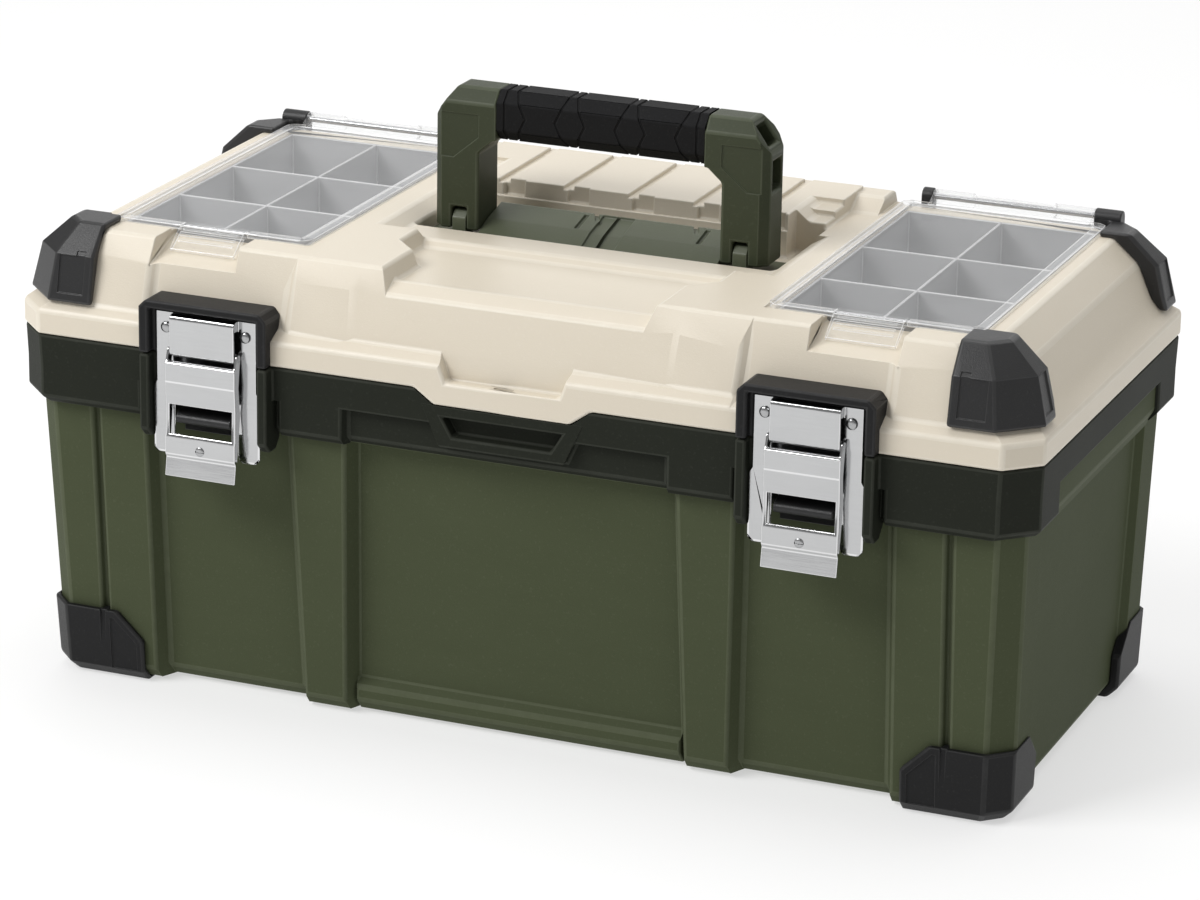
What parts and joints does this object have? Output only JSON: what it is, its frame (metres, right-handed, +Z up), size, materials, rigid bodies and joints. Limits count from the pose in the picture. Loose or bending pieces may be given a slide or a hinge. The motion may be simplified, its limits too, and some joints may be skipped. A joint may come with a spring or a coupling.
{
  "type": "tool box",
  "caption": "Plastic tool box with a hinged lid, clear-covered small-parts organisers in the lid, steel draw latches at the front and a folding carrying handle.",
  "frame": {"origin": "on the floor under the middle of the box", "axes": "+X along the length to the right as seen from the front, -Y to the front, +Z up"},
  "size_m": [0.56, 0.295, 0.317],
  "materials": {
    "green_plastic": "satin moulded",
    "charcoal_plastic": "satin moulded",
    "beige_plastic": "satin moulded",
    "black_plastic": "satin moulded",
    "grip_rubber": "soft-touch",
    "grey_plastic": "fine texture",
    "clear_plastic": "clear gloss",
    "latch_steel": "bright plated",
    "pin_steel": "satin"
  },
  "bodies": {
    "base": {"tub": "green_plastic", "rim_band": "charcoal_plastic", "foot_guard_front_left": "black_plastic", "foot_guard_front_right": "black_plastic", "foot_guard_rear_left": "black_plastic", "foot_guard_rear_right": "black_plastic", "keeper_left": "black_plastic", "keeper_right": "black_plastic", "lid_hinge_pin_left": "pin_steel", "lid_hinge_pin_right": "pin_steel"},
    "lid": {"lid_shell": "beige_plastic", "handle_base": "green_plastic", "lid_bumper_front_left": "black_plastic", "lid_bumper_front_right": "black_plastic", "lid_bumper_rear_left": "black_plastic", "lid_bumper_rear_right": "black_plastic", "latch_bezel_left": "black_plastic", "latch_bezel_right": "black_plastic", "latch_plate_left": "latch_steel", "latch_plate_right": "latch_steel", "latch_rivets_left": "pin_steel", "latch_rivets_right": "pin_steel", "latch_pin_left": "pin_steel", "latch_pin_right": "pin_steel", "organiser_tray_left": "grey_plastic", "organiser_tray_right": "grey_plastic", "organiser_knuckle_left": "black_plastic", "organiser_knuckle_right": "black_plastic", "organiser_rod_left": "pin_steel", "organiser_rod_right": "pin_steel", "handle_pin_left": "pin_steel", "handle_pin_right": "pin_steel"},
    "handle": {"handle_frame": "green_plastic", "handle_grip": "grip_rubber"},
    "latch_left": {"latch_lever_left": "latch_steel", "lever_screw_left": "pin_steel"},
    "organiser_cover_left": {"organiser_lid_left": "clear_plastic", "organiser_catch_pin_left": "pin_steel"},
    "catch_left": {"organiser_catch_left": "clear_plastic"},
    "latch_right": {"latch_lever_right": "latch_steel", "lever_screw_right": "pin_steel"},
    "organiser_cover_right": {"organiser_lid_right": "clear_plastic", "organiser_catch_pin_right": "pin_steel"},
    "catch_right": {"organiser_catch_right": "clear_plastic"}
  },
  "joints": [
    {"name": "lid_hinge", "type": "hinge", "parent": "base", "child": "lid", "pos_m": [0, 0.1424, 0.193], "axis": [-1, 0, 0], "range_deg": [0, 95]},
    {"name": "handle_fold", "type": "hinge", "parent": "lid", "child": "handle", "pos_m": [0, -0.0065, 0.246], "axis": [1, 0, 0], "range_deg": [0, 75]},
    {"name": "latch_lever_left", "type": "hinge", "parent": "lid", "child": "latch_left", "pos_m": [-0.16415, -0.1414, 0.196], "axis": [-1, 0, 0], "range_deg": [0, 100]},
    {"name": "organiser_cover_left", "type": "hinge", "parent": "lid", "child": "organiser_cover_left", "pos_m": [-0.182, 0.1215, 0.2515], "axis": [-1, 0, 0], "range_deg": [0, 100]},
    {"name": "organiser_catch_left", "type": "hinge", "parent": "organiser_cover_left", "child": "catch_left", "pos_m": [-0.18, -0.0935, 0.248], "axis": [-1, 0, 0], "range_deg": [0, 70]},
    {"name": "latch_lever_right", "type": "hinge", "parent": "lid", "child": "latch_right", "pos_m": [0.16415, -0.1414, 0.196], "axis": [-1, 0, 0], "range_deg": [0, 100]},
    {"name": "organiser_cover_right", "type": "hinge", "parent": "lid", "child": "organiser_cover_right", "pos_m": [0.182, 0.1215, 0.2515], "axis": [-1, 0, 0], "range_deg": [0, 100]},
    {"name": "organiser_catch_right", "type": "hinge", "parent": "organiser_cover_right", "child": "catch_right", "pos_m": [0.18, -0.0935, 0.248], "axis": [-1, 0, 0], "range_deg": [0, 70]}
  ]
}
